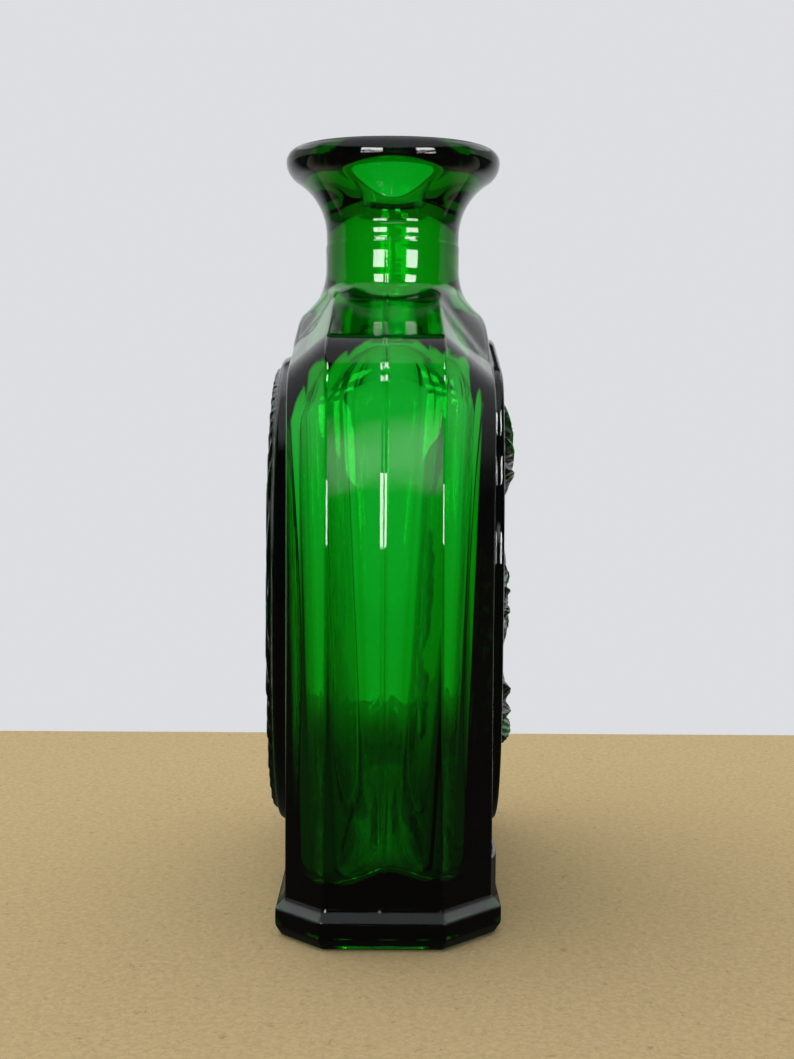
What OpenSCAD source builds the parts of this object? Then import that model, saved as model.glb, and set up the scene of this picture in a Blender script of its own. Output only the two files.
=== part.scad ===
// Green glass decanter bottle: an eight-sided flask on an overhanging foot, with gabled
// shoulders, a round neck and a wide flared lip.
//
// The origin is on the neck's axis in the plane that the foot rests on. +Z is up, X runs
// across the wide faces, and the front face looks along -Y. The glass is split at the
// joints of its mould, and the sections meet face to face.

/* [Flask] */
// Width of the flask, from one narrow face to the other
flask_w = 103; // [90:0.5:120]
// Thickness of the flask, from the front face to the back face
flask_t = 38; // [36:0.5:46]
// Height of the shoulders where they leave the narrow faces, above the foot's top
side_h = 100.7; // [95:0.1:115]
// Rise of the shoulders towards the neck, in degrees
shoulder_slope = 17.2; // [14:0.2:20]
// Leg of the chamfers along the front face's edges
front_chamfer = 9.6; // [7:0.1:11]
// Leg of the chamfers along the back face's edges
back_chamfer = 7.4; // [6:0.1:11]

/* [Glass] */
// Wall behind the front and back faces
wall_t = 4.5; // [3:0.1:6]
// Wall behind the narrow faces
end_wall_t = 4.7; // [3:0.1:7]
// Wall under the shoulders
shoulder_wall_t = 4.6; // [3.5:0.1:6]
// Glass between the hollow and the foot
floor_t = 3.2; // [2:0.1:6]

/* [Neck] */
// Diameter of the neck at its parting line
neck_d = 27.6; // [26:0.1:30]
// Height of the parting line above the ridge in which the shoulders would meet
neck_h = 7.3; // [6:0.1:8.4]
// Straight stretch of the neck under the parting line
neck_straight_h = 4.6; // [3.6:0.1:6]
// Radius of the curve between the neck and the shoulders
neck_fillet_r = 14; // [12.5:0.1:15]
// Diameter of the bore that takes a stopper
bore_d = 14.4; // [12:0.1:18]
// Height of the throat where the hollow narrows into the bore
throat_h = 9; // [7:0.1:11]
// Diameter of the throat at its foot
throat_d = 25; // [22:0.1:26]

/* [Lip] */
// Height of the neck ring, from the parting line to the top of the lip
lip_h = 19.3; // [18:0.1:22]
// Diameter over the lip
lip_d = 44.2; // [42:0.1:48]
// Radius of the lip's upper edge
lip_edge_r = 2.2; // [1.5:0.1:2.6]
// Straight stretch of the neck ring above the parting line
ring_straight_h = 1.6; // [0.5:0.1:2.4]
// Radius of the hollow curve from the neck to the lip
flare_r = 14; // [12:0.1:14.5]
// Step in from the neck to the neck ring at the parting line
parting_step = 0.2; // [0.1:0.05:0.5]
// Radius of the round edge between the bore and the top of the lip
mouth_r = 9.5; // [6:0.1:10.5]

/* [Foot] */
// Height of the foot
foot_h = 6.7; // [5:0.1:10]
// How far the foot stands out past the flask
foot_overhang = 1.75; // [1:0.05:4]
// Height of the slope on the foot's upper edge
foot_top_bevel_h = 1.7; // [1:0.1:2]
// Height of the slope on the foot's lower edge
foot_low_bevel_h = 2; // [1:0.1:2.5]
// How far the lower slope cuts in
foot_low_bevel_w = 1.2; // [0.6:0.1:2]
// Depth of the hollow under the foot
push_up_h = 1.1; // [0.5:0.1:2]
// Width of the rim that the foot rests on
rest_rim_w = 6.5; // [4:0.1:9]

/* [Front] */
// Width of the front panel
front_panel_w = 78; // [70:0.5:80]
// Height of the front panel
front_panel_h = 98.4; // [92:0.2:100]
// How far the front panel stands out
front_raise = 2; // [1:0.1:3]
// Width of the name plaque
plaque_w = 82; // [60:0.5:83]
// Height of the name plaque
plaque_h = 6.6; // [5:0.1:7]
// How far the name plaque stands out
plaque_raise = 1.3; // [0.8:0.1:1.6]
// Gap between the name plaque and the front panel
plaque_gap = 0.3; // [0.3:0.1:1]

/* [Front relief] */
// Height of the palmette's root above the middle of the panel
palmette_up = 19; // [18:0.1:20]
// Length of the palmette's middle leaf
palmette_leaf = 18; // [14:0.1:19]
// Height of the palmette's leaves above the panel
palmette_raise = 4.2; // [3:0.1:5]
// Number of leaves in the palmette
palmette_leaves = 7; // [5:2:9]
// Height of the rosette's middle below the middle of the panel
rosette_down = 5.4; // [5:0.1:6]
// Diameter of the rosette
rosette_d = 26.4; // [22:0.1:27]
// Height of the rosette's middle above the panel
rosette_raise = 4; // [3:0.1:5]
// Number of petals in each of the rosette's two rings
rosette_petals = 8; // [6:1:9]
// Height of the spray's middle below the middle of the panel
spray_down = 27.4; // [27:0.1:29]
// Length of each leaf in the spray
spray_leaf = 13.5; // [10:0.1:14]
// Height of the spray's leaves above the panel
spray_raise = 3.8; // [3:0.1:5]
// Leaves on each side of the spray
spray_leaves = 3; // [2:1:4]

/* [Back] */
// Width of the back panel
back_panel_w = 79; // [70:0.5:84]
// Height of the back panel
back_panel_h = 97; // [90:0.5:100]
// Gap between the foot and the back panel
back_panel_gap = 4.7; // [3:0.1:8]
// How far the back panel stands out
back_raise = 3.1; // [2:0.1:4]
// Thickness of the grained board on the back panel
board_t = 1.3; // [0.8:0.1:2]
// How far the back panel's edge shows around the board
board_margin = 1.6; // [1:0.1:4]
// Depth of the grooves between the grain lines
grain_depth = 0.5; // [0.2:0.05:0.7]
// Width of each groove
grain_w = 0.9; // [0.5:0.1:1.4]
// Spacing of the grain lines across the board
grain_pitch = 4.2; // [3.5:0.1:6]

/* [Mould seams] */
// Width of the seam fins
seam_w = 0.6; // [0.3:0.05:1]
// How far the seam fins stand out
seam_raise = 0.25; // [0.15:0.05:0.5]

/* [Hidden] */
$fn = 96;
glass = [0.02, 0.42, 0.08];

// Heights above the table
shoulder_z = foot_h + side_h;

// The two shoulders would meet in a ridge here, inside the neck
ridge_z = shoulder_z + flask_w / 2 * tan(shoulder_slope);
parting_z = ridge_z + neck_h;
top_z = parting_z + lip_h;
fillet_z = parting_z - neck_straight_h;

// An eight-sided ring keeps an even wall when its chamfers shrink by this share of it
chamfer_share = 2 - sqrt(2);

// The hollow inside the flask
hollow_w = flask_w - 2 * end_wall_t;
hollow_t = flask_t - 2 * wall_t;
hollow_z = foot_h + floor_t;
hollow_ridge_z = ridge_z - shoulder_wall_t / cos(shoulder_slope);
hollow_front_chamfer = front_chamfer - chamfer_share * wall_t;
hollow_back_chamfer = back_chamfer - chamfer_share * wall_t;
bore_r = bore_d / 2;
bore_z = hollow_ridge_z + 0.6;

// Middle of the narrow faces, where the mould parts
seam_y = (front_chamfer - back_chamfer) / 2;

// Front and back surfaces, as distances from the neck's axis
front_y = flask_t / 2;
panel_y = front_y + front_raise;
back_y = flask_t / 2;
board_y = back_y + back_raise;

// Middle heights of the panels, which keep this far inside the flat part of their face
front_panel_z = foot_h + plaque_h + plaque_gap + front_panel_h / 2;
back_panel_z = foot_h + back_panel_gap + back_panel_h / 2;
panel_edge = 0.4;

// Powers of the panels' superellipses: the higher, the squarer
front_panel_power = 3.3;
back_panel_power = 2.5;

// Where the neck's hollow curve meets the ridge of a shoulder, as a distance from the axis
fillet_x = neck_d / 2 + neck_fillet_r;
fillet_drop = (fillet_z - ridge_z + fillet_x * tan(shoulder_slope)) * cos(shoulder_slope);
fillet_chord = sqrt(neck_fillet_r * neck_fillet_r - fillet_drop * fillet_drop);
root_x = fillet_x - fillet_drop * sin(shoulder_slope) - fillet_chord * cos(shoulder_slope);

// Extra length of a cutting tool past the solid that it cuts
past = 1;

// Eight-sided outline seen from above, with its own chamfers at the front and the back
module octagon(w, t, front_c, back_c)
    polygon([
        [-w / 2 + front_c, -t / 2],
        [w / 2 - front_c, -t / 2],
        [w / 2, -t / 2 + front_c],
        [w / 2, t / 2 - back_c],
        [w / 2 - back_c, t / 2],
        [-w / 2 + back_c, t / 2],
        [-w / 2, t / 2 - back_c],
        [-w / 2, -t / 2 + front_c]
    ]);

// Everything under one shoulder: a chamfered bar that lies along the slope
module under_shoulder(side, w, t, ridge, front_c, back_c)
    translate([0, 0, ridge])
        rotate([0, side * shoulder_slope, 0])
            rotate([90, 0, 90])
                linear_extrude(2 * w, center = true)
                    polygon([
                        [-t / 2, -2 * ridge],
                        [t / 2, -2 * ridge],
                        [t / 2, -back_c],
                        [t / 2 - back_c, 0],
                        [-t / 2 + front_c, 0],
                        [-t / 2, -front_c]
                    ]);

// Eight-sided prism under a gabled roof, with the same chamfers up the sides and the slopes
module gabled_prism(w, t, base, ridge, front_c, back_c)
    intersection() {
        translate([0, 0, base])
            linear_extrude(ridge)
                octagon(w, t, front_c, back_c);
        under_shoulder(1, w, t, ridge, front_c, back_c);
        under_shoulder(-1, w, t, ridge, front_c, back_c);
    }

// Round neck that spreads onto the shoulders: a hollow curve down to a slope of 45 degrees,
// then a cone that runs into the chamfers, cut off by the wide faces
module neck_root() {
    skirt_r = neck_d / 2 + neck_fillet_r * (1 - cos(45));
    skirt_z = fillet_z - neck_fillet_r * sin(45);
    skirt_drop = flask_t / 3;
    intersection() {
        rotate_extrude() {
            difference() {
                translate([0, skirt_z])
                    square([skirt_r, fillet_z - skirt_z]);
                translate([fillet_x, fillet_z])
                    circle(neck_fillet_r);
            }
            translate([0, skirt_z])
                square([neck_d / 2, parting_z - skirt_z]);
            polygon([
                [0, skirt_z],
                [skirt_r, skirt_z],
                [skirt_r + skirt_drop, skirt_z - skirt_drop],
                [0, skirt_z - skirt_drop]
            ]);
        }
        translate([-flask_w / 2, -flask_t / 2, 0])
            cube([flask_w, flask_t, top_z]);
    }
}

module flask_hollow() {
    gabled_prism(hollow_w, hollow_t, hollow_z, hollow_ridge_z,
                 hollow_front_chamfer, hollow_back_chamfer);
    // Throat and bore
    rotate_extrude()
        polygon([
            [0, bore_z - throat_h],
            [throat_d / 2, bore_z - throat_h],
            [bore_r, bore_z],
            [bore_r, parting_z + past],
            [0, parting_z + past]
        ]);
}

module flask()
    color(glass)
        difference() {
            union() {
                gabled_prism(flask_w, flask_t, foot_h, ridge_z, front_chamfer, back_chamfer);
                neck_root();
            }
            flask_hollow();
        }

// Half section of the flared lip. The lip's underside is an arc that touches both the
// hollow flare and the widest point.
module lip_section() {
    ring_r = neck_d / 2 - parting_step;
    flare_x = ring_r + flare_r;
    flare_z = parting_z + ring_straight_h;
    edge_z = top_z - lip_edge_r;
    rise = edge_z - flare_z;
    reach = flare_x - lip_d / 2;
    under_r = (reach * reach + rise * rise - flare_r * flare_r) / (2 * (flare_r - reach));
    under_x = lip_d / 2 - under_r;
    lean = atan2(rise, flare_x - under_x);
    flare_steps = 18;
    edge_steps = 9;
    polygon(concat(
        [[0, parting_z], [ring_r, parting_z]],
        [for (i = [0:flare_steps])
            let (a = lean * i / flare_steps)
            [flare_x - flare_r * cos(a), flare_z + flare_r * sin(a)]],
        [for (i = [1:edge_steps])
            let (a = lean * (1 - i / edge_steps))
            [under_x + under_r * cos(a), edge_z - under_r * sin(a)]],
        [for (i = [1:edge_steps])
            let (a = 90 * i / edge_steps)
            [lip_d / 2 - lip_edge_r * (1 - cos(a)), edge_z + lip_edge_r * sin(a)]],
        [[0, top_z]]
    ));
}

module neck_ring() {
    color(glass)
        difference() {
            rotate_extrude() lip_section();
            translate([0, 0, parting_z - past])
                cylinder(h = lip_h + 2 * past, r = bore_r);
            // The mouth opens out in a round edge from the bore to the top of the lip
            rotate_extrude()
                difference() {
                    translate([0, top_z - mouth_r])
                        square([bore_r + mouth_r, mouth_r + past]);
                    translate([bore_r + mouth_r, top_z - mouth_r])
                        circle(mouth_r);
                }
        }
}

module foot() {
    w = flask_w + 2 * foot_overhang;
    t = flask_t + 2 * foot_overhang;
    front_c = front_chamfer + chamfer_share * foot_overhang;
    back_c = back_chamfer + chamfer_share * foot_overhang;
    color(glass)
        difference() {
            intersection() {
                linear_extrude(foot_h) octagon(w, t, front_c, back_c);
                foot_bevels(w, 0);
                foot_bevels(t, 90);
                foot_corner_bevels(w, t, front_c, -1);
                foot_corner_bevels(w, t, back_c, 1);
            }
            translate([0, 0, -past])
                linear_extrude(push_up_h + past)
                    octagon(w - 2 * rest_rim_w, t - 2 * rest_rim_w,
                            front_c - chamfer_share * rest_rim_w,
                            back_c - chamfer_share * rest_rim_w);
        }
}

// Section of the foot across one pair of opposite sides that lie a width w apart
module bevel_section(low, high)
    polygon([
        [low + foot_low_bevel_w, 0],
        [high - foot_low_bevel_w, 0],
        [high, foot_low_bevel_h],
        [high, foot_h - foot_top_bevel_h],
        [high - foot_overhang, foot_h],
        [low + foot_overhang, foot_h],
        [low, foot_h - foot_top_bevel_h],
        [low, foot_low_bevel_h]
    ]);

module foot_bevels(w, turn)
    rotate([0, 0, turn])
        rotate([90, 0, 0])
            linear_extrude(2 * flask_w, center = true)
                bevel_section(-w / 2, w / 2);

// Bevels along the two chamfers of one face: side is -1 at the front and 1 at the back
module foot_corner_bevels(w, t, c, side) {
    reach = (w / 2 + t / 2 - c) / sqrt(2);
    intersection_for (turn = [side * 45, side * 135])
        rotate([0, 0, turn])
            rotate([90, 0, 0])
                linear_extrude(2 * flask_w, center = true)
                    bevel_section(-2 * flask_w, reach);
}

// Upright outline with full, rounded corners: a superellipse
function round_outline(w, h, power, steps) =
    [for (i = [0:steps - 1])
        let (
            a = 360 * i / steps,
            x = pow(abs(cos(a)), 2 / power) * sign(cos(a)),
            z = pow(abs(sin(a)), 2 / power) * sign(sin(a))
        )
        [x * w / 2, z * h / 2]];

// Flat part of a wide face, less an edge of its own, as its outline seen from the front
module face_outline(chamfer, margin) {
    inset = chamfer + margin;
    half = flask_w / 2 - inset;
    crown = ridge_z - inset / cos(shoulder_slope);
    polygon([
        [-half, foot_h],
        [half, foot_h],
        [half, crown - half * tan(shoulder_slope)],
        [0, crown],
        [-half, crown - half * tan(shoulder_slope)]
    ]);
}

// Stands a flat outline up against a face: facing is -1 at the front and 1 at the back
module stand_on(face_y, depth, facing)
    translate([0, facing * face_y, 0])
        rotate([90, 0, 0])
            translate([0, 0, facing < 0 ? 0 : -depth])
                linear_extrude(depth)
                    children();

module front_panel()
    color(glass)
        stand_on(front_y, front_raise, -1)
            intersection() {
                translate([0, front_panel_z])
                    polygon(round_outline(front_panel_w, front_panel_h, front_panel_power, 96));
                face_outline(front_chamfer, panel_edge);
            }

module back_outline(margin)
    intersection() {
        translate([0, back_panel_z])
            polygon(round_outline(back_panel_w - 2 * margin, back_panel_h - 2 * margin,
                                  back_panel_power, 96));
        face_outline(back_chamfer, panel_edge + margin);
    }

module back_panel()
    color(glass)
        stand_on(back_y, back_raise, 1)
            back_outline(0);

// Grained board: grooves run up it in long curves that part around a round knot
module back_board() {
    knot_r = 1.6 * grain_pitch;
    bow_r = back_panel_h;
    grooves = floor(back_panel_w / 2 / grain_pitch);
    color(glass)
        difference() {
            stand_on(board_y, board_t, 1) back_outline(board_margin);
            stand_on(board_y + board_t - grain_depth, grain_depth + past, 1)
                intersection() {
                    back_outline(-past);
                    translate([0, back_panel_z]) {
                        for (ring_r = [knot_r, knot_r / 2]) ring(ring_r);
                        for (side = [-1, 1])
                            for (i = [1:grooves])
                                translate([-side * bow_r, 0])
                                    half_ring(bow_r + knot_r + i * grain_pitch, side);
                    }
                }
        }
}

// One groove's outline: a ring of the groove's width
module ring(r)
    difference() {
        circle(r);
        circle(r - grain_w);
    }

module half_ring(r, side)
    intersection() {
        ring(r);
        translate([side * r, 0]) square(2 * r, center = true);
    }

// Pointed leaf with a sharp midrib. It starts at the origin and runs along +Y.
module leaf(length, width, height) {
    steps = 6;
    tip = 3 * steps - 2;
    stations = [for (i = [1:steps - 1]) i / steps];
    rings = [for (t = stations)
        let (
            x = width / 2 * pow(sin(180 * t), 0.8),
            y = length * t,
            z = height * pow(sin(180 * t), 0.6)
        )
        each [[-x, y, 0], [0, y, z], [x, y, 0]]];
    polyhedron(
        points = concat([[0, 0, 0]], rings, [[0, length, 0]]),
        faces = concat(
            [[0, 1, 2], [0, 2, 3], [0, 3, 1]],
            [for (a = [1:3:tip - 6])
                each [
                    [a, a + 3, a + 4], [a, a + 4, a + 1],
                    [a + 1, a + 4, a + 5], [a + 1, a + 5, a + 2],
                    [a + 2, a + 5, a + 3], [a + 2, a + 3, a]
                ]],
            [[tip, tip - 2, tip - 3], [tip, tip - 1, tip - 2], [tip, tip - 3, tip - 1]]
        )
    );
}

// Round button with a domed top
module button(r, height) {
    ball_r = (r * r + height * height) / (2 * height);
    intersection() {
        translate([0, 0, height - ball_r]) sphere(ball_r, $fn = 12);
        translate([-ball_r, -ball_r, 0]) cube(2 * ball_r);
    }
}

// Lays a relief on the front panel, at a height above or below the panel's middle
module on_front_panel(up)
    translate([0, -panel_y, front_panel_z + up])
        rotate([90, 0, 0])
            children();

// Fan of leaves over a button
module front_ornament_top() {
    fan = 150;
    last = palmette_leaves - 1;
    color(glass)
        on_front_panel(palmette_up) {
            for (i = [0:last]) {
                turn = fan * (i / last - 0.5);
                length = palmette_leaf * (0.68 + 0.32 * cos(turn));
                rotate([0, 0, -turn]) leaf(length, 0.36 * palmette_leaf, palmette_raise);
            }
            button(0.22 * palmette_leaf, 0.9 * palmette_raise);
        }
}

// Two rings of petals round a button
module front_ornament_middle() {
    step = 360 / rosette_petals;
    r = rosette_d / 2;
    color(glass)
        on_front_panel(-rosette_down) {
            for (i = [0:rosette_petals - 1]) {
                rotate([0, 0, i * step])
                    translate([0, 0.2 * r, 0]) leaf(0.8 * r, 0.62 * r, 0.75 * rosette_raise);
                rotate([0, 0, (i + 0.5) * step])
                    translate([0, 0.1 * r, 0]) leaf(0.56 * r, 0.4 * r, 0.95 * rosette_raise);
            }
            button(0.26 * r, rosette_raise);
        }
}

// Two sprays of leaves that part from a button
module front_ornament_bottom() {
    lift = 24;
    color(glass)
        on_front_panel(-spray_down) {
            for (side = [-1, 1])
                for (i = [0:spray_leaves - 1]) {
                    turn = side * (90 + lift * (i - (spray_leaves - 1) / 2));
                    rotate([0, 0, turn])
                        translate([0, 0.16 * spray_leaf, 0])
                            leaf(spray_leaf, 0.4 * spray_leaf, spray_raise);
                }
            button(0.26 * spray_leaf, spray_raise);
        }
}

// Bare bar between the foot and the front panel, with sloping ends and edges
module name_plaque() {
    slope = plaque_raise / 2;
    color(glass)
        translate([0, -front_y, foot_h])
            intersection() {
                rotate([90, 0, 90])
                    linear_extrude(plaque_w, center = true)
                        polygon([
                            [0, 0],
                            [-plaque_raise, 0],
                            [-plaque_raise, plaque_h - slope],
                            [0, plaque_h]
                        ]);
                linear_extrude(plaque_h)
                    polygon([
                        [-plaque_w / 2, 0],
                        [-plaque_w / 2 + slope, -plaque_raise],
                        [plaque_w / 2 - slope, -plaque_raise],
                        [plaque_w / 2, 0]
                    ]);
            }
}

// Fin along the parting plane: up a narrow face and up the slope of its shoulder
module mould_seam(side) {
    edge_x = flask_w / 2;
    out = seam_raise;
    root_z = ridge_z - root_x * tan(shoulder_slope);
    color(glass)
        translate([0, seam_y, 0])
            rotate([90, 0, 0])
                linear_extrude(seam_w, center = true)
                    polygon([
                        [side * edge_x, foot_h],
                        [side * (edge_x + out), foot_h],
                        [side * (edge_x + out), shoulder_z + out * tan(shoulder_slope / 2)],
                        [side * root_x, root_z + out / cos(shoulder_slope)],
                        [side * root_x, root_z],
                        [side * edge_x, shoulder_z]
                    ]);
}

module mould_seam_left() mould_seam(-1);

module mould_seam_right() mould_seam(1);

flask();
neck_ring();
foot();
front_panel();
back_panel();
back_board();
front_ornament_top();
front_ornament_middle();
front_ornament_bottom();
name_plaque();
mould_seam_left();
mould_seam_right();
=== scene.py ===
"""Green glass decanter bottle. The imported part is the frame; one cast-glass mesh dresses it.

The bottle is a single glass casting, so its look is one closed surface, outside and hollow
together: light then crosses only real surfaces of the glass. The surface is written as a
field, in millimetres, that is negative inside the glass, and is meshed where it is zero.
"""

import math
from concurrent.futures import ThreadPoolExecutor

import bpy
import numpy as np
from mathutils import Matrix, Vector


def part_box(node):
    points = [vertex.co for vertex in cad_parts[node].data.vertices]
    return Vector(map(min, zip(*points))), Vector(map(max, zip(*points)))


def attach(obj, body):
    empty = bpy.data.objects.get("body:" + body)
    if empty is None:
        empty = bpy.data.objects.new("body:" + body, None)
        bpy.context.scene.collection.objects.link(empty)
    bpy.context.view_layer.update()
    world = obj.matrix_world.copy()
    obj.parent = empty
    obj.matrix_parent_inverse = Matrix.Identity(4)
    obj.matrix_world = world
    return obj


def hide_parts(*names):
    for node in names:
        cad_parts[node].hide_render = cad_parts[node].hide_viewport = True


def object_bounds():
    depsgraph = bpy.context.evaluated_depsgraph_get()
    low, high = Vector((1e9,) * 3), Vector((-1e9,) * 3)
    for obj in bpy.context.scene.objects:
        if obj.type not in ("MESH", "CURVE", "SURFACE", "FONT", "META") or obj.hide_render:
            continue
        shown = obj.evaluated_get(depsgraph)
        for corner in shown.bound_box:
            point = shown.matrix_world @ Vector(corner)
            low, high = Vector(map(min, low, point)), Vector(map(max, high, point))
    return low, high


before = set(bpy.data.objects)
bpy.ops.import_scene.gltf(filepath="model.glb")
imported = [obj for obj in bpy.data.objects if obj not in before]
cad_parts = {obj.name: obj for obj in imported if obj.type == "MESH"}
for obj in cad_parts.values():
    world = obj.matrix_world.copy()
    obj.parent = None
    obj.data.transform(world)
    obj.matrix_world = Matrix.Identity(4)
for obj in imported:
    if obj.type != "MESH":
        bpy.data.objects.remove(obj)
cad_box = [list(corner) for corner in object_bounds()]

MM = 0.001


def node_box(name):
    """A CAD node's lowest and highest corners, in millimetres."""
    lo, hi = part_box(name)
    return np.array(lo) / MM, np.array(hi) / MM


# ---------------------------------------------------------------- sizes, from the frame
FLASK_HI = node_box("flask")[1]
RING_LO, RING_HI = node_box("neck_ring")
FOOT_HI = node_box("foot")[1]
FRONT_LO, FRONT_HI = node_box("front_panel")
BACK_LO, BACK_HI = node_box("back_panel")
BOARD_LO, BOARD_HI = node_box("back_board")
PLAQUE_LO, PLAQUE_HI = node_box("name_plaque")
PALMETTE_LO = node_box("front_ornament_top")[0]
ROSETTE_LO, ROSETTE_HI = node_box("front_ornament_middle")
SPRAY_LO, SPRAY_HI = node_box("front_ornament_bottom")
SEAM_LO, SEAM_HI = node_box("mould_seam_right")

HALF_W = FLASK_HI[0]
HALF_T = FLASK_HI[1]
FOOT_TOP = FOOT_HI[2]
PARTING_Z = RING_LO[2]
TOP_Z = RING_HI[2]
LIP_R = RING_HI[0]
SEAM_Y = (SEAM_LO[1] + SEAM_HI[1]) / 2

# Sizes that the boxes don't give, in millimetres: most are the CAD source's own, and the
# rest is what the mould and the blowing add
SLOPE = math.radians(17.2)
SHOULDER_Z = FOOT_TOP + 100.7
RIDGE_Z = SHOULDER_Z + HALF_W * math.tan(SLOPE)
FRONT_CHAMFER = 9.6
BACK_CHAMFER = 7.4
NECK_R = 13.8
RING_STEP = 0.2
RING_STRAIGHT_H = 1.6
FILLET_R = 14.0
FILLET_Z = PARTING_Z - 4.6
SKIRT = math.radians(48)
SKIRT_FOOT_Z = RIDGE_Z - 19
ROOT_SQUARE = 2.2
FLARE_R = 14.0
LIP_EDGE_R = 2.2
BORE_R = 7.2
BORE_FOOT_Z = RIDGE_Z - 14
THROAT_Z = RIDGE_Z - 4.0
THROAT_SPREAD = 0.85
THROAT_BLEND = 3.0
MOUTH_R = 9.5
PLAQUE_TAPER = math.radians(13)
FOOT_LOW_BEVEL = (1.2, 2.0)
FOOT_TOP_BEVEL = (1.75, 1.7)
FRONT_PANEL_POWER = 3.3
BACK_PANEL_POWER = 2.5
BOARD_MARGIN = 1.6
PANEL_MARGIN = 0.4
SEAM_RAISE, SEAM_SPREAD = 0.24, 0.32

# How much the neck widens across the parting line, and over what height it narrows again
NECK_SWELL, SWELL_H = 0.12, 6
# How far below the neck's lower curve its root starts to grow square, and over what height
ROOT_SQUARE_DROP, ROOT_SQUARE_H = 4, 7
# How much rounder and shorter the lip's rim is over the narrow faces
RIM_ROUNDER, RIM_SHORTER = 2.0, 0.4
# The shallow push-up under the foot: its distance from the foot's edge, and its height
PUSH_UP_INSET, PUSH_UP_CUT, PUSH_UP_H = 6.5, 4.7, 1.1

# The leaves of each ornament: length, width, height and distance from the middle; and its
# button: radius and height
PALMETTE_ROOT_UP = 3.7
PALMETTE_LEAF, PALMETTE_BUTTON = (18, 6.4, 4.1, 0), (4.0, 3.8)
ROSETTE_OUTER, ROSETTE_INNER = (10.5, 8.2, 3.0, 2.6), (7.4, 5.3, 3.7, 1.3)
ROSETTE_BUTTON = (3.4, 3.9)
SPRAY_LEAF, SPRAY_BUTTON = (13.4, 5.4, 3.7, 2.1), (3.5, 3.7)

# The grain: its knot's place, radius, stretch along the board and reach, and each set of
# lines' spacing and depth
KNOT_X, KNOT_UP, KNOT_R, KNOT_STRETCH, KNOT_REACH = -3, 4, 5, 2.3, 11
GRAIN_PITCH, GRAIN_DEPTH = 2.1, 0.5
FINE_PITCH, FINE_DEPTH = 1.37, 0.15

# The hollow: half its length and its two depths, each at the top and at the bottom, since
# blown glass is thinner near the shoulders, and how thick the glass over and under it is
ROOM_TOP_Z, ROOM_LOW_Z = 100.0, 14.0
ROOM_HALF_W = (47.6, 46.4)
ROOM_FRONT = (15.8, 11.3)
ROOM_BACK = (17.6, 14.0)
ROOM_SIDE_R = (11.5, 12.6)
SHOULDER_WALL_T = 3.0
ROOM_ARCH, ARCH_POWER = 8.0, 2.6
FLOOR_Z = FOOT_TOP + 1.6
FLOOR_RISE, FLOOR_RISE_W = 3.6, 6
BOWL_H = 5.0
HEEL_X, HEEL_H = 4.0, 13.0

# Radii of the cast edges outside and of the hollow's inside, the widths over which forms
# run into each other, and how far the back panel's sides lean in
EDGE_R = 1.1
SHOULDER_R = 9.0
FOOT_EDGE_R = 0.7
CREASE = 0.9
DRAFT = 0.35
ROOM_SHOULDER_R = 7.0
ROOM_FLOOR_R = 4.0

# Size of the grid that the surface is meshed on
CELL = 0.5
THREADS = 4
# Distance given to a form where it isn't worked out
FAR_OFF = 20.0


# ---------------------------------------------------------------- the field of the glass
def soft_max(a, b, width):
    """The larger of two fields, rounded off where they're nearly equal."""
    h = np.maximum(width - np.abs(a - b), 0) / width
    return np.maximum(a, b) + h * h * width / 4


def soft_min(a, b, width):
    """The smaller of two fields, rounded off where they're nearly equal."""
    return -soft_max(-a, -b, width)


def smooth_step(t):
    """Rises from 0 to 1 as t does, level at both ends."""
    t = np.clip(t, 0, 1)
    return t * t * (3 - 2 * t)


def blend_width(radius, turn):
    """Width of soft_max that rounds an edge to a radius, where two planes meet whose
    directions differ by a turn in degrees."""
    half = math.cos(math.radians(turn) / 2)
    return 4 * radius * (1 - half)


def only(mask, field, x, y, z):
    """A field that is worked out only where the mask holds, and is far off elsewhere."""
    values = np.full(x.shape, FAR_OFF)
    values[mask] = field(x[mask], y[mask], z[mask])
    return values


def octagon(x, y, half_w, front, back, front_c, back_c, radius):
    """Distance to an eight-sided outline seen from above, inside negative."""
    root = math.sqrt(2)
    square = blend_width(radius, 90)
    corner = blend_width(radius, 45)
    d = soft_max(soft_max(np.abs(x) - half_w, -y - front, square), y - back, square)
    front_cut = (np.abs(x) - y - half_w - front + front_c) / root
    back_cut = (np.abs(x) + y - half_w - back + back_c) / root
    return soft_max(soft_max(d, front_cut, corner), back_cut, corner)


def roof_of(x, z, ridge):
    """Distance to the two sloping shoulders that meet at a ridge's height."""
    return np.abs(x) * math.sin(SLOPE) + (z - ridge) * math.cos(SLOPE)


def body(x, y, z):
    """The flask: an eight-sided prism under two sloping shoulders, all edges chamfered."""
    root = math.sqrt(2)
    end = soft_max(np.abs(x) - HALF_W, roof_of(x, z, RIDGE_Z), blend_width(SHOULDER_R, 73))
    corner = blend_width(EDGE_R, 45)
    d = soft_max(end, (end - y - HALF_T + FRONT_CHAMFER) / root, corner)
    d = soft_max(d, (end + y - HALF_T + BACK_CHAMFER) / root, corner)
    return soft_max(soft_max(d, np.abs(y) - HALF_T, corner), 2 - z, 0.5)


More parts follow.
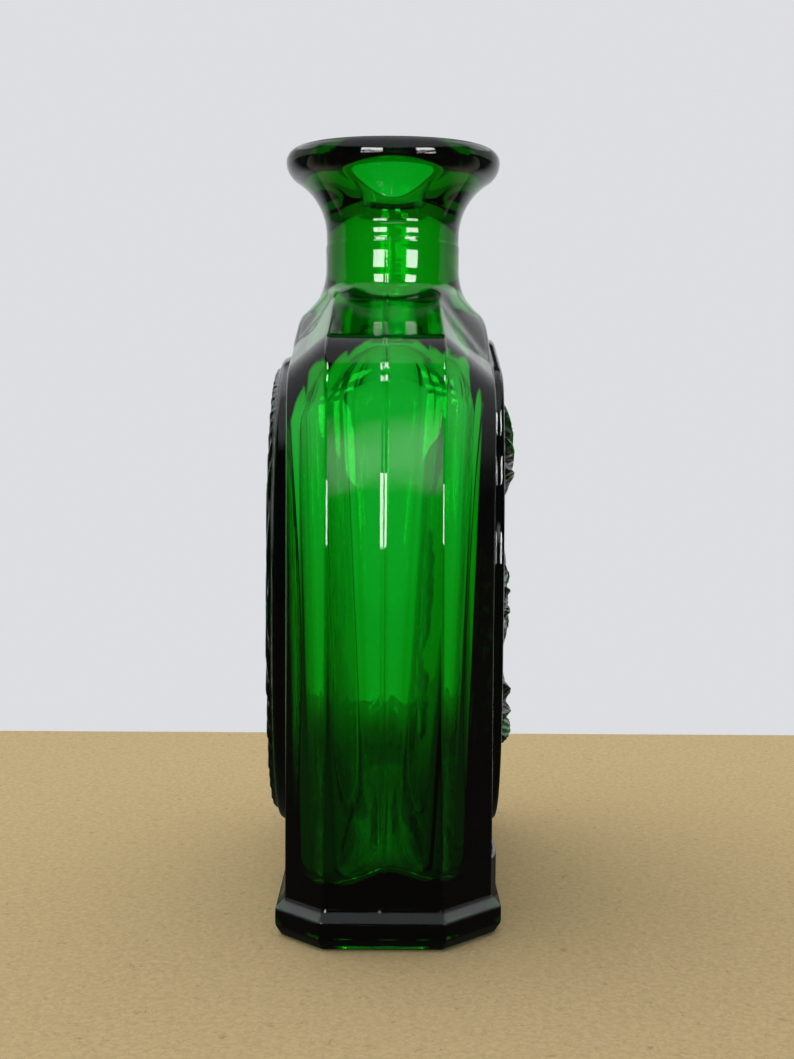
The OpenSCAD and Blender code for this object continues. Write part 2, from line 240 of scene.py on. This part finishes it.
def lip_profile():
    """Outer radius of the neck above its lower curve, as heights, radii and the cosines of
    the slope: a straight neck, a hollow flare, a rounded underside and the widest point."""
    ring_r = NECK_R - RING_STEP
    flare_x = ring_r + FLARE_R
    flare_z = PARTING_Z + RING_STRAIGHT_H
    edge_z = TOP_Z - LIP_EDGE_R
    rise = edge_z - flare_z
    reach = flare_x - LIP_R
    under_r = (reach ** 2 + rise ** 2 - FLARE_R ** 2) / (2 * (FLARE_R - reach))
    under_x = LIP_R - under_r
    lean = math.atan2(rise, flare_x - under_x)
    turn = np.linspace(0, lean, 120)
    flare = np.stack([flare_z + FLARE_R * np.sin(turn), flare_x - FLARE_R * np.cos(turn),
                      np.cos(turn)])
    turn = turn[::-1]
    under = np.stack([edge_z - under_r * np.sin(turn), under_x + under_r * np.cos(turn),
                      np.cos(turn)])
    neck_part = np.array([[FILLET_Z, PARTING_Z - 2.2, PARTING_Z - 0.3, PARTING_Z + 0.3],
                          [NECK_R, NECK_R, NECK_R, ring_r], [1, 1, 1, 1]])
    crown = np.array([[edge_z, TOP_Z + 9], [LIP_R, LIP_R], [1, 1]])
    profile = np.concatenate([neck_part, flare, under[:, 1:], crown[:, 1:]], axis=1)
    # the neck widens very slightly across the parting line
    profile[1] += np.interp(profile[0], [PARTING_Z - 2.2, flare_z, flare_z + SWELL_H],
                            [0, NECK_SWELL, 0])
    return profile


PROFILE = lip_profile()


def neck(x, y, z):
    """The round neck, the flared lip above it and the hollow curve below it."""
    r = np.hypot(x, y)
    # the root of the neck grows square towards the shoulders
    power = 2 + ROOT_SQUARE * smooth_step((FILLET_Z - ROOT_SQUARE_DROP - z) / ROOT_SQUARE_H)
    square_r = (np.abs(x) ** power + np.abs(y) ** power + 1e-9) ** (1 / power)
    root_r = NECK_R + FILLET_R
    dz = np.maximum(FILLET_Z - z, 0)
    curve = FILLET_R - np.hypot(np.minimum(square_r - root_r, 0), dz)
    skirt_r = NECK_R + FILLET_R * (1 - math.cos(SKIRT))
    skirt_z = FILLET_Z - FILLET_R * math.sin(SKIRT)
    cone = (square_r - skirt_r) * math.sin(SKIRT) + (z - skirt_z) * math.cos(SKIRT)
    root = soft_max(np.where(z > skirt_z, curve, cone), np.abs(y) - HALF_T, 1.5)
    root = np.maximum(root, SKIRT_FOOT_Z - z)
    lip = (r - np.interp(z, PROFILE[0], PROFILE[1])) * np.interp(z, PROFILE[0], PROFILE[2])
    # the lip's rim is rounder over the narrow faces
    narrow = (x / np.maximum(r, 1)) ** 4
    edge_r = LIP_EDGE_R + RIM_ROUNDER * narrow
    q_r, q_z = r - LIP_R + RIM_SHORTER * narrow + edge_r, z - TOP_Z + edge_r
    disc = np.hypot(np.maximum(q_r, 0), np.maximum(q_z, 0)) - edge_r
    disc = disc + np.minimum(np.maximum(q_r, q_z), 0)
    return np.where(z > FILLET_Z, np.maximum(lip, disc), root)


def foot(x, y, z):
    """The overhanging foot, bevelled above and below, with a shallow push-up under it."""
    half_w, half_t = FOOT_HI[0], FOOT_HI[1]
    share = 2 - math.sqrt(2)
    grown = share * (half_w - HALF_W)
    side = octagon(x, y, half_w, half_t, half_t, FRONT_CHAMFER + grown, BACK_CHAMFER + grown,
                   FOOT_EDGE_R)
    low_w, low_h = FOOT_LOW_BEVEL
    top_w, top_h = FOOT_TOP_BEVEL
    low = (low_h * side + low_w * (low_h - z)) / math.hypot(low_w, low_h)
    top = (top_h * side + top_w * (z - FOOT_TOP + top_h)) / math.hypot(top_w, top_h)
    slight = blend_width(FOOT_EDGE_R, 45)
    d = soft_max(soft_max(side, low, slight), top, slight)
    d = soft_max(soft_max(d, -z, slight), z - FOOT_TOP, slight)
    inner_t, cut = half_t - PUSH_UP_INSET, share * PUSH_UP_CUT
    rim = octagon(x, y, half_w - PUSH_UP_INSET, inner_t, inner_t, FRONT_CHAMFER - cut,
                  BACK_CHAMFER - cut, 3)
    push_up = soft_max(rim, z - PUSH_UP_H, 1.5)
    return soft_max(d, -push_up, 1.5)


def rounded(x, z, lo, hi, power):
    """Distance to an upright rounded outline between two corners, inside negative."""
    a, b = (hi[0] - lo[0]) / 2, (hi[2] - lo[2]) / 2
    u = np.abs(x - (hi[0] + lo[0]) / 2) / a
    v = np.abs(z - (hi[2] + lo[2]) / 2) / b
    s = (u ** power + v ** power + 1e-12) ** (1 / power)
    grad = np.hypot((u / s) ** (power - 1) / a, (v / s) ** (power - 1) / b)
    return (s - 1) / np.maximum(grad, 1e-4)


def face_edge(x, z, chamfer):
    """Distance to the edge of a wide face's flat part, under the shoulders' chamfers."""
    return roof_of(x, z, RIDGE_Z) + (chamfer + PANEL_MARGIN)


def leaf(along, across, length, width, height):
    """Height of a leaf with a raised midrib and side veins that runs along one axis."""
    t = np.clip(along / length, 1e-4, 1 - 1e-4)
    swell = np.sin(math.pi * t)
    half = width / 2 * swell ** 0.8
    s = np.abs(across) / np.maximum(half, 1e-3)
    crown = height * swell ** 0.45 * (1 - 0.55 * s ** 1.4)
    vein_at = (along - 0.9 * np.abs(across)) / (0.16 * length)
    veins = 0.14 * height * np.cos(2 * math.pi * vein_at)
    rib = 0.1 * height * np.exp(-(across / (0.06 * width)) ** 2)
    inside = (s < 1) & (along > 0) & (along < length)
    return np.where(inside, crown + veins * swell * s * (1 - s) * 2 + rib, 0)


def fan(x, z, centre_z, turns, shape, shares=None):
    """Height of leaves that spread from one point, each at its own turn from upright and
    with its own share of the shape's length."""
    length, width, height, start = shape
    h = np.zeros_like(x)
    for turn, share in zip(turns, shares or [1] * len(turns)):
        c, s = math.cos(turn), math.sin(turn)
        dz = z - centre_z
        one = leaf(x * s + dz * c - start, x * c - dz * s, length * share, width, height)
        h = np.maximum(h, one)
    return h


def button(x, z, centre_z, shape):
    """Height of a low round button in the middle of an ornament."""
    r, height = shape
    q = 1 - (x * x + (z - centre_z) ** 2) / (r * r)
    return height * np.sqrt(np.maximum(q, 0))


def relief(x, z):
    """Height of the three ornaments above the front panel."""
    root_z = PALMETTE_LO[2] + PALMETTE_ROOT_UP
    turns = [math.radians(25 * i) for i in range(-3, 4)]
    shares = [0.68 + 0.32 * math.cos(t) for t in turns]
    h = fan(x, z, root_z, turns, PALMETTE_LEAF, shares)
    h = np.maximum(h, button(x, z, root_z, PALMETTE_BUTTON))
    mid = (ROSETTE_LO[2] + ROSETTE_HI[2]) / 2
    outer = [math.radians(45 * i) for i in range(8)]
    inner = [math.radians(45 * i + 22.5) for i in range(8)]
    h = np.maximum(h, fan(x, z, mid, outer, ROSETTE_OUTER))
    h = np.maximum(h, fan(x, z, mid, inner, ROSETTE_INNER))
    h = np.maximum(h, button(x, z, mid, ROSETTE_BUTTON))
    low = (SPRAY_LO[2] + SPRAY_HI[2]) / 2
    sprays = [side * math.radians(a) for side in (-1, 1) for a in (66, 90, 114)]
    h = np.maximum(h, fan(x, z, low, sprays, SPRAY_LEAF))
    return np.maximum(h, button(x, z, low, SPRAY_BUTTON))


def grain(x, z):
    """Depth of the grooves in the back board: long lines that part around a knot."""
    knot_z = (BOARD_LO[2] + BOARD_HI[2]) / 2 + KNOT_UP
    kx, kz = x - KNOT_X, (z - knot_z) / KNOT_STRETCH
    knot = np.hypot(kx, kz)
    sway = 2.0 * np.sin(z / 17 + 0.7) + 0.9 * np.sin(z / 6.3 + x / 9)
    lines = kx * (1 - 0.6 * np.exp(-(knot / KNOT_REACH) ** 2)) + sway
    phase = np.where(knot < KNOT_R, knot * 1.1, lines)
    wave = 0.5 + 0.5 * np.sin(2 * math.pi * phase / GRAIN_PITCH)
    fine = 0.5 + 0.5 * np.sin(2 * math.pi * (phase / FINE_PITCH) + np.sin(z / 5))
    ring = smooth_step(np.abs(knot - KNOT_R) / 1.2)
    return (GRAIN_DEPTH * wave ** 1.6 + FINE_DEPTH * fine) * ring


def front_form(x, y, z):
    """The front panel with its ornaments."""
    outline = rounded(x, z, FRONT_LO, FRONT_HI, FRONT_PANEL_POWER)
    edge = soft_max(outline, face_edge(x, z, FRONT_CHAMFER), 2)
    return soft_max(edge, (-y + FRONT_LO[1] - relief(x, z)) * 0.8, 0.9)


def plaque_form(x, y, z):
    """The plaque, whose ends slope back gently into the face behind it."""
    end = (np.abs(x) - PLAQUE_HI[0]) * math.sin(PLAQUE_TAPER)
    end = end - (y + HALF_T) * math.cos(PLAQUE_TAPER)
    end = np.maximum(end, np.abs(x) - PLAQUE_HI[0])
    d = soft_max(end, z - PLAQUE_HI[2], 0.4)
    return np.maximum(soft_max(d, -y + PLAQUE_LO[1], 0.4), 3 - z)


def back_form(x, y, z):
    """The back panel with its grained board."""
    outline = rounded(x, z, BACK_LO, BACK_HI, BACK_PANEL_POWER)
    edge = soft_max(outline, face_edge(x, z, BACK_CHAMFER), 2)
    edge = edge + DRAFT * (y - HALF_T)
    panel = soft_max(edge, y - BACK_HI[1], 1.0)
    board = soft_max(edge + BOARD_MARGIN, y - BOARD_HI[1] + grain(x, z), 0.7)
    return soft_min(panel, board, 0.6)


def seam(x, y, z):
    """Height of the mould's seam, up the middle of the narrow faces and over the shoulders."""
    held = (z < PARTING_Z) & (z > FOOT_TOP) & (np.abs(x) > 6)
    return SEAM_RAISE * np.exp(-((y - SEAM_Y) / SEAM_SPREAD) ** 2) * held


def outside(x, y, z):
    """The whole outer surface. Each form is worked out only near its own place."""
    glass = body(x, y, z)
    glass = soft_min(glass, only(z > 98, neck, x, y, z), CREASE) - seam(x, y, z)
    glass = soft_min(glass, only(y < -HALF_T + 3, front_form, x, y, z), 0.6)
    glass = soft_min(glass, only((y < -HALF_T + 3) & (z < 20), plaque_form, x, y, z), 0.3)
    glass = soft_min(glass, only(y > HALF_T - 3, back_form, x, y, z), 0.6)
    return soft_min(glass, only(z < 14, foot, x, y, z), 0.5)


def between(pair, z):
    """A size that changes evenly from the foot of the hollow to its shoulders."""
    return pair[1] + (pair[0] - pair[1]) * (z - ROOM_LOW_Z) / (ROOM_TOP_Z - ROOM_LOW_Z)


def round_box(u, v, half_u, half_v, radius):
    """Distance to an oblong with rounded corners, inside negative."""
    u, v = np.abs(u) - half_u + radius, np.abs(v) - half_v + radius
    outer = (np.maximum(u, 0) ** 2.2 + np.maximum(v, 0) ** 2.2) ** (1 / 2.2)
    return outer + np.minimum(np.maximum(u, v), 0) - radius


def room(x, y, z):
    """The hollow inside the flask: an arched roof, walls that thicken downwards and a heel
    of glass that rises towards the far end."""
    front, back = between(ROOM_FRONT, z), between(ROOM_BACK, z)
    side = round_box(x, y - (back - front) / 2, between(ROOM_HALF_W, z), (front + back) / 2,
                     between(ROOM_SIDE_R, z))
    arch = ROOM_ARCH * np.abs(y / ROOM_FRONT[0]) ** ARCH_POWER
    roof = roof_of(x, z + arch, RIDGE_Z - SHOULDER_WALL_T / math.cos(SLOPE))
    d = soft_max(side, roof, blend_width(ROOM_SHOULDER_R, 73))
    reach = np.clip((x - HEEL_X) / (ROOM_HALF_W[0] - HEEL_X), 0, 1)
    bowl = BOWL_H * smooth_step((np.abs(y) - 4) / 11) * smooth_step((x + 42) / 30)
    lift = HEEL_H * reach ** 2.0 + FLOOR_RISE * np.exp(-(y / FLOOR_RISE_W) ** 2) + bowl
    steep = 2.0 * HEEL_H * reach / (ROOM_HALF_W[0] - HEEL_X)
    floor = (FLOOR_Z + lift - z) / np.sqrt(1.2 + steep ** 2)
    return soft_max(d, floor, blend_width(ROOM_FLOOR_R, 90))


def bore(x, y, z):
    """The bore, with its throat below and its round mouth above."""
    r = np.hypot(x, y)
    below = THROAT_Z - z
    spread = THROAT_SPREAD * (below + np.sqrt(below ** 2 + 9)) / 2
    mouth_x, mouth_z = BORE_R + MOUTH_R, TOP_Z - MOUTH_R
    flare = MOUTH_R - np.hypot(r - mouth_x, np.maximum(z - mouth_z, 0))
    hole = np.where(z > mouth_z, np.where(r > mouth_x, TOP_Z - z, flare),
                    (r - BORE_R - spread) * 0.9)
    return np.maximum(hole, BORE_FOOT_Z - z)


def hollow(x, y, z):
    """Distance to the air inside, the air negative: the cavity, the bore and the mouth."""
    return soft_min(room(x, y, z), only(z > BORE_FOOT_Z - 2, bore, x, y, z), THROAT_BLEND)


def glass_field(x, y, z):
    """The glass: the outer form less the air inside it."""
    return soft_max(outside(x, y, z), -hollow(x, y, z), 0.5)


# ---------------------------------------------------------------- meshing the field
def sample(field, lo, counts, cell):
    """The field on a grid, several layers of constant z at a time."""
    xs, ys, zs = (lo[i] + cell * np.arange(counts[i]) for i in range(3))
    x, y = np.meshgrid(xs, ys, indexing="ij")
    values = np.empty(tuple(counts), dtype=np.float32)
    depth = 8

    def fill(start):
        z = zs[start:start + depth]
        shape = (*x.shape, len(z))
        values[:, :, start:start + depth] = field(
            np.broadcast_to(x[..., None], shape), np.broadcast_to(y[..., None], shape),
            np.broadcast_to(z, shape))

    with ThreadPoolExecutor(THREADS) as pool:
        list(pool.map(fill, range(0, counts[2], depth)))
    return values


def surface_net(field, lo, hi, cell):
    """Corners and four-sided faces of the field's zero surface, one corner for each crossed
    cell, at the mean of the crossings on its edges."""
    lo = np.asarray(lo) - 2 * cell
    counts = np.ceil((np.asarray(hi) + 2 * cell - lo) / cell).astype(int) + 1
    values = sample(field, lo, counts, cell)
    inside = values < 0
    size = int(np.prod(counts))
    strides = np.array([counts[1] * counts[2], counts[2], 1])
    total, hits, rings = np.zeros((3, size)), np.zeros(size), []
    for axis in range(3):
        near = [slice(None)] * 3
        far = [slice(None)] * 3
        near[axis], far[axis] = slice(0, -1), slice(1, None)
        at = np.argwhere(inside[tuple(near)] != inside[tuple(far)])
        ahead = at.copy()
        ahead[:, axis] += 1
        a, b = values[tuple(at.T)], values[tuple(ahead.T)]
        point = at.astype(float)
        point[:, axis] += a / (a - b)
        u, v = (axis + 1) % 3, (axis + 2) % 3
        base = at @ strides
        cells = np.stack([base, base - strides[u], base - strides[u] - strides[v],
                          base - strides[v]], axis=1)
        flip = ~inside[tuple(at.T)]
        cells[flip] = cells[flip][:, ::-1]
        rings.append(cells)
        for corner in range(4):
            hits += np.bincount(cells[:, corner], minlength=size)
            for i in range(3):
                total[i] += np.bincount(cells[:, corner], weights=point[:, i], minlength=size)
    used = np.flatnonzero(hits)
    index = np.full(size, -1)
    index[used] = np.arange(len(used))
    corners = lo + cell * (total[:, used] / hits[used]).T
    return corners, index[np.concatenate(rings)]


def slope_of(field, p, step=0.04):
    """Value and gradient of the field at points."""
    grad = np.empty_like(p)
    for i in range(3):
        shift = np.zeros(3)
        shift[i] = step
        ahead, behind = p + shift, p - shift
        grad[:, i] = (field(*ahead.T) - field(*behind.T)) / (2 * step)
    return field(*p.T), grad


def settle(field, corners, rounds=2):
    """Moves corners onto the zero surface and returns them with the surface's normals."""
    def settle_some(p):
        for _ in range(rounds):
            value, grad = slope_of(field, p)
            move = grad * (value / np.maximum((grad ** 2).sum(1), 0.2))[:, None]
            length = np.linalg.norm(move, axis=1, keepdims=True)
            p = p - move * np.minimum(1, 0.3 / np.maximum(length, 1e-9))
        _, grad = slope_of(field, p)
        return p, grad / np.maximum(np.linalg.norm(grad, axis=1, keepdims=True), 1e-9)

    with ThreadPoolExecutor(THREADS) as pool:
        parts = list(pool.map(settle_some, np.array_split(corners, 64)))
    return np.concatenate([p for p, _ in parts]), np.concatenate([n for _, n in parts])


def mesh_from(name, corners, faces, normals):
    """A smooth-shaded object from corners in millimetres, four-sided faces and normals."""
    mesh = bpy.data.meshes.new(name)
    mesh.vertices.add(len(corners))
    mesh.vertices.foreach_set("co", (corners * MM).ravel())
    mesh.loops.add(faces.size)
    mesh.loops.foreach_set("vertex_index", faces.ravel())
    mesh.polygons.add(len(faces))
    mesh.polygons.foreach_set("loop_start", np.arange(0, faces.size, 4))
    mesh.update(calc_edges=True)
    mesh.validate()
    mesh.polygons.foreach_set("use_smooth", np.ones(len(mesh.polygons), dtype=bool))
    mesh.normals_split_custom_set_from_vertices(normals)
    piece = bpy.data.objects.new(name, mesh)
    bpy.context.scene.collection.objects.link(piece)
    return piece


def make_bottle():
    """The bottle's mesh, kept inside the CAD's box."""
    lo, hi = np.array(cad_box[0]) / MM, np.array(cad_box[1]) / MM
    corners, faces = surface_net(glass_field, lo, hi, CELL)
    corners, normals = settle(glass_field, corners)
    corners = np.clip(corners, lo, hi)
    return mesh_from("bottle_glass", corners, faces, normals)


# ---------------------------------------------------------------- materials
GLASS_COLOUR = (0.0, 0.872, 0.31)
GLASS_DENSITY = 650
TABLE_COLOUR = (0.555, 0.42, 0.225)
# Painted reflection of the table, a glowing sheet in outer reflections: its colour, and its
# brightness near the camera (painted shade) and beyond
TABLE_REFLECTION_GLOW = (0.5, 0.45, 0.36)
TABLE_PAINTED_SHADE = (0.1, 0.8)


def node_material(name):
    """A new material with its nodes cleared, and an output node."""
    material = bpy.data.materials.new(name)
    material.use_nodes = True
    nodes = material.node_tree.nodes
    nodes.clear()
    return material, nodes, material.node_tree.links, nodes.new("ShaderNodeOutputMaterial")


def ranged(nodes, links, value, low, high, to_low, to_high):
    """A node's output that goes smoothly from one value to another over a range."""
    node = nodes.new("ShaderNodeMapRange")
    node.interpolation_type = "SMOOTHSTEP"
    node.inputs["From Min"].default_value = low
    node.inputs["From Max"].default_value = high
    node.inputs["To Min"].default_value = to_low
    node.inputs["To Max"].default_value = to_high
    links.new(value, node.inputs["Value"])
    return node.outputs["Result"]


def two(nodes, links, operation, a, b):
    """A maths node's output. Plain floats are set on its sockets."""
    node = nodes.new("ShaderNodeMath")
    node.operation = operation
    for socket, value in zip(node.inputs, (a, b)):
        if isinstance(value, float):
            socket.default_value = value
        else:
            links.new(value, socket)
    return node.outputs["Value"]


def glass_material():
    """Clear glass that is coloured by its thickness."""
    material, nodes, links, out = node_material("green_bottle_glass")
    shader = nodes.new("ShaderNodeBsdfPrincipled")
    shader.inputs["Base Color"].default_value = (1, 1, 1, 1)
    shader.inputs["Roughness"].default_value = 0.015
    shader.inputs["IOR"].default_value = 1.52
    shader.inputs["Transmission Weight"].default_value = 1
    absorb = nodes.new("ShaderNodeVolumeAbsorption")
    absorb.inputs["Color"].default_value = (*GLASS_COLOUR, 1)
    absorb.inputs["Density"].default_value = GLASS_DENSITY
    # the faint ripple of a surface that cooled against the mould
    place = nodes.new("ShaderNodeTexCoord")
    ripple = nodes.new("ShaderNodeTexNoise")
    ripple.inputs["Scale"].default_value = 60
    ripple.inputs["Detail"].default_value = 1.5
    bump = nodes.new("ShaderNodeBump")
    bump.inputs["Strength"].default_value = 0.25
    bump.inputs["Distance"].default_value = 0.0004
    links.new(place.outputs["Object"], ripple.inputs["Vector"])
    links.new(ripple.outputs["Fac"], bump.inputs["Height"])
    links.new(bump.outputs["Normal"], shader.inputs["Normal"])
    links.new(shader.outputs["BSDF"], out.inputs["Surface"])
    links.new(absorb.outputs["Volume"], out.inputs["Volume"])
    return material


def board_material():
    """Matt pressed board with fine pale and dark fibres. Outer reflections show a glowing sheet
    in its place, with painted shade on the camera's side.
    """
    material, nodes, links, out = node_material("table_board")
    shader = nodes.new("ShaderNodeBsdfPrincipled")
    shader.inputs["Roughness"].default_value = 0.6
    shader.inputs["Specular IOR Level"].default_value = 0.0
    place = nodes.new("ShaderNodeTexCoord")

    def speckle(scale, low, high, least, most):
        noise = nodes.new("ShaderNodeTexNoise")
        noise.inputs["Scale"].default_value = scale
        noise.inputs["Detail"].default_value = 4
        noise.inputs["Roughness"].default_value = 0.7
        noise.inputs["Distortion"].default_value = 0.8
        links.new(place.outputs["Object"], noise.inputs["Vector"])
        return ranged(nodes, links, noise.outputs["Fac"], low, high, least, most)

    fine = speckle(900.0, 0.3, 0.7, 0.88, 1.1)
    flecks = speckle(420.0, 0.27, 0.4, 0.7, 1.0)
    tone = nodes.new("ShaderNodeVectorMath")
    tone.operation = "SCALE"
    tone.inputs[0].default_value = TABLE_COLOUR
    links.new(two(nodes, links, "MULTIPLY", fine, flecks), tone.inputs["Scale"])
    links.new(tone.outputs["Vector"], shader.inputs["Base Color"])
    # outer reflections show the table as a glowing sheet, with painted shade on the camera's side
    # and brighter beyond
    axes = nodes.new("ShaderNodeSeparateXYZ")
    links.new(place.outputs["Object"], axes.inputs[0])
    painted_shade_glow = nodes.new("ShaderNodeEmission")
    painted_shade_glow.inputs["Color"].default_value = (*TABLE_REFLECTION_GLOW, 1)
    links.new(ranged(nodes, links, axes.outputs["X"], 0.02, 0.12, *TABLE_PAINTED_SHADE),
              painted_shade_glow.inputs["Strength"])
    path = nodes.new("ShaderNodeLightPath")
    either = nodes.new("ShaderNodeMixShader")
    links.new(path.outputs["Is Glossy Ray"], either.inputs[0])
    links.new(shader.outputs["BSDF"], either.inputs[1])
    links.new(painted_shade_glow.outputs["Emission"], either.inputs[2])
    links.new(either.outputs["Shader"], out.inputs["Surface"])
    return material


# ---------------------------------------------------------------- stage, light and camera
# The table's edges along the line of sight, and its half width, in metres
TABLE_FAR, TABLE_NEAR, TABLE_SIDE = 0.140, -0.43, 0.9
WALL_COLOUR = (0.72, 0.73, 0.755)
# The least and the most light from the sky
SKY = (0.3, 2.1)
# Brightness in reflections, as a share of the wall's: the ceiling, the dim room behind the
# camera, and the upper parts of the far room, to either side, that the shoulders mirror
CEILING, ROOM, SHEEN = 0.9, 0.05, 1.9
# The soft strip's brightness, and how far below the horizon it lies
GLOW, GLOW_DOWN = 2.4, 0.0095
# The windows on the camera's side: their brightness, distance, sides in degrees towards the
# bottle's front, and the panes' heights in metres
WINDOW_RADIANCE = 15
WINDOW_AWAY = 1.0
WINDOWS = {"left": (-33, -10.6), "right": (23, 43)}
PANES = {"sill_{}": (0.002, 0.061), "window_{}_low": (0.235, 0.395),
         "window_{}_high": (0.615, 0.966)}

EYE = (-0.305, 0, 0.09045)
FOCAL_PIXELS = 1450
PICTURE_PIXELS = 1059
PITCH = math.radians(3.5)
YAW = math.radians(0.24)
ROLL = math.radians(0.37)


def make_floor():
    """A table whose far edge, beyond the bottle, shows against the wall."""
    corners = [(TABLE_NEAR, -TABLE_SIDE, 0), (TABLE_FAR, -TABLE_SIDE, 0),
               (TABLE_FAR, TABLE_SIDE, 0), (TABLE_NEAR, TABLE_SIDE, 0)]
    mesh = bpy.data.meshes.new("table")
    mesh.from_pydata(corners, [], [(0, 1, 2, 3)])
    mesh.materials.append(board_material())
    piece = bpy.data.objects.new("table", mesh)
    bpy.context.scene.collection.objects.link(piece)


def make_world():
    """Pale wall wherever a ray looks, and a soft sky behind and above for what it lights.
    Outer reflections show the lit wall beyond the bottle, which is brighter high up to
    either side, a dim room on the camera's side with one soft strip, and a ceiling."""
    world = bpy.data.worlds.new("studio")
    bpy.context.scene.world = world
    world.use_nodes = True
    nodes, links = world.node_tree.nodes, world.node_tree.links
    nodes.clear()
    out = nodes.new("ShaderNodeOutputWorld")
    place = nodes.new("ShaderNodeTexCoord")
    axes = nodes.new("ShaderNodeSeparateXYZ")
    links.new(place.outputs["Generated"], axes.inputs[0])
    ahead, height = axes.outputs["X"], axes.outputs["Z"]

    def step(value, low, high, to_low, to_high):
        return ranged(nodes, links, value, low, high, to_low, to_high)

    def mixed(operation, a, b):
        return two(nodes, links, operation, a, b)

    # the wall beyond the bottle, dark towards the camera, overhead and low at the sides
    board = mixed("MULTIPLY", step(ahead, 0.5, 0.95, 0.55, 1), step(ahead, -0.08, 0.04, ROOM, 1))
    board = mixed("MULTIPLY", board, step(height, 0.4, 0.48, 1, ROOM))
    low = mixed("MAXIMUM", step(height, -0.04, 0.03, 0.1, 1), step(ahead, 0.5, 0.8, 0, 1))
    board = mixed("MULTIPLY", board, low)
    # the soft strip behind the camera
    strip = step(mixed("ABSOLUTE", mixed("ADD", height, GLOW_DOWN), 0.0), 0.006, 0.03, GLOW, 0)
    strip = mixed("MULTIPLY", strip, step(ahead, -0.98, -0.9, 1, 0))
    ceiling = step(height, 0.62, 0.75, ROOM, CEILING)
    # the bright upper parts of the far room, to either side
    sideways = mixed("ABSOLUTE", axes.outputs["Y"], 0.0)
    bright = mixed("MULTIPLY", step(sideways, 0.2, 0.38, 0, SHEEN), step(height, 0.36, 0.5, 0, 1))
    bright = mixed("MULTIPLY", bright, step(ahead, 0, 0.3, 0, 1))
    room = mixed("MAXIMUM", mixed("MAXIMUM", board, bright), mixed("MAXIMUM", strip, ceiling))
    # what the camera sees, also through the glass, is the plain wall
    path = nodes.new("ShaderNodeLightPath")
    direct = mixed("MAXIMUM", path.outputs["Is Camera Ray"], path.outputs["Is Transmission Ray"])
    seen = nodes.new("ShaderNodeBackground")
    seen.inputs["Color"].default_value = (*WALL_COLOUR, 1)
    mirrored = mixed("MULTIPLY", room, mixed("SUBTRACT", 1.0, direct))
    links.new(mixed("ADD", mirrored, direct), seen.inputs["Strength"])
    # the light comes from above, a little from behind and from the back face's side
    lean = mixed("ADD", mixed("MULTIPLY", ahead, 0.45), mixed("MULTIPLY", height, 0.86))
    lean = mixed("ADD", lean, mixed("MULTIPLY", axes.outputs["Y"], 0.24))
    soft = nodes.new("ShaderNodeBackground")
    links.new(step(lean, 0.3, 0.95, *SKY), soft.inputs["Strength"])
    mix = nodes.new("ShaderNodeMixShader")
    links.new(mixed("MAXIMUM", direct, path.outputs["Is Glossy Ray"]), mix.inputs[0])
    links.new(soft.outputs[0], mix.inputs[1])
    links.new(seen.outputs[0], mix.inputs[2])
    links.new(mix.outputs[0], out.inputs["Surface"])


def lamp(name, place, aim, size, radiance):
    """A rectangular soft lamp, sizes and places in metres."""
    data = bpy.data.lights.new(name, "AREA")
    data.shape = "RECTANGLE"
    data.size, data.size_y = size
    data.energy = radiance * math.pi * size[0] * size[1]
    piece = bpy.data.objects.new(name, data)
    piece.location = place
    piece.rotation_euler = (Vector(aim) - Vector(place)).to_track_quat("-Z", "Y").to_euler()
    piece.visible_camera = False
    piece.visible_diffuse = False
    bpy.context.scene.collection.objects.link(piece)


def make_lights():
    """The upright panes of two windows, which only reflections show."""
    for side, turn in WINDOWS.items():
        middle = math.radians(sum(turn) / 2)
        width = 2 * WINDOW_AWAY * math.tan(math.radians(turn[1] - turn[0]) / 2)
        for pane, (low, high) in PANES.items():
            place = Vector((-WINDOW_AWAY * math.cos(middle), -WINDOW_AWAY * math.sin(middle),
                            (low + high) / 2))
            lamp(pane.format(side), place, (0, 0, place.z), (width, high - low),
                 WINDOW_RADIANCE)


def make_camera():
    """The photograph's view, with its small turns about all three axes."""
    data = bpy.data.cameras.new("camera")
    data.sensor_width = 36
    data.lens = 36 * FOCAL_PIXELS / PICTURE_PIXELS
    data.clip_start = 0.01
    forward = Vector((math.cos(PITCH) * math.cos(YAW), -math.sin(YAW) * math.cos(PITCH),
                      -math.sin(PITCH)))
    right = forward.cross(Vector((0, 0, 1))).normalized()
    above = right.cross(forward)
    right, above = (right * math.cos(ROLL) + above * math.sin(ROLL),
                    above * math.cos(ROLL) - right * math.sin(ROLL))
    piece = bpy.data.objects.new("camera", data)
    turn = Matrix((right, above, -forward)).transposed()
    piece.matrix_world = Matrix.Translation(EYE) @ turn.to_4x4()
    bpy.context.scene.collection.objects.link(piece)
    bpy.context.scene.camera = piece


# ---------------------------------------------------------------- the scene
NODES = ["flask", "neck_ring", "foot", "front_panel", "back_panel", "back_board",
         "front_ornament_top", "front_ornament_middle", "front_ornament_bottom",
         "name_plaque", "mould_seam_left", "mould_seam_right"]

bottle = make_bottle()
bottle.data.materials.append(glass_material())
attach(bottle, "root")
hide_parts(*NODES)

make_floor()
make_world()
make_lights()
make_camera()
bpy.context.scene.view_settings.view_transform = "Standard"
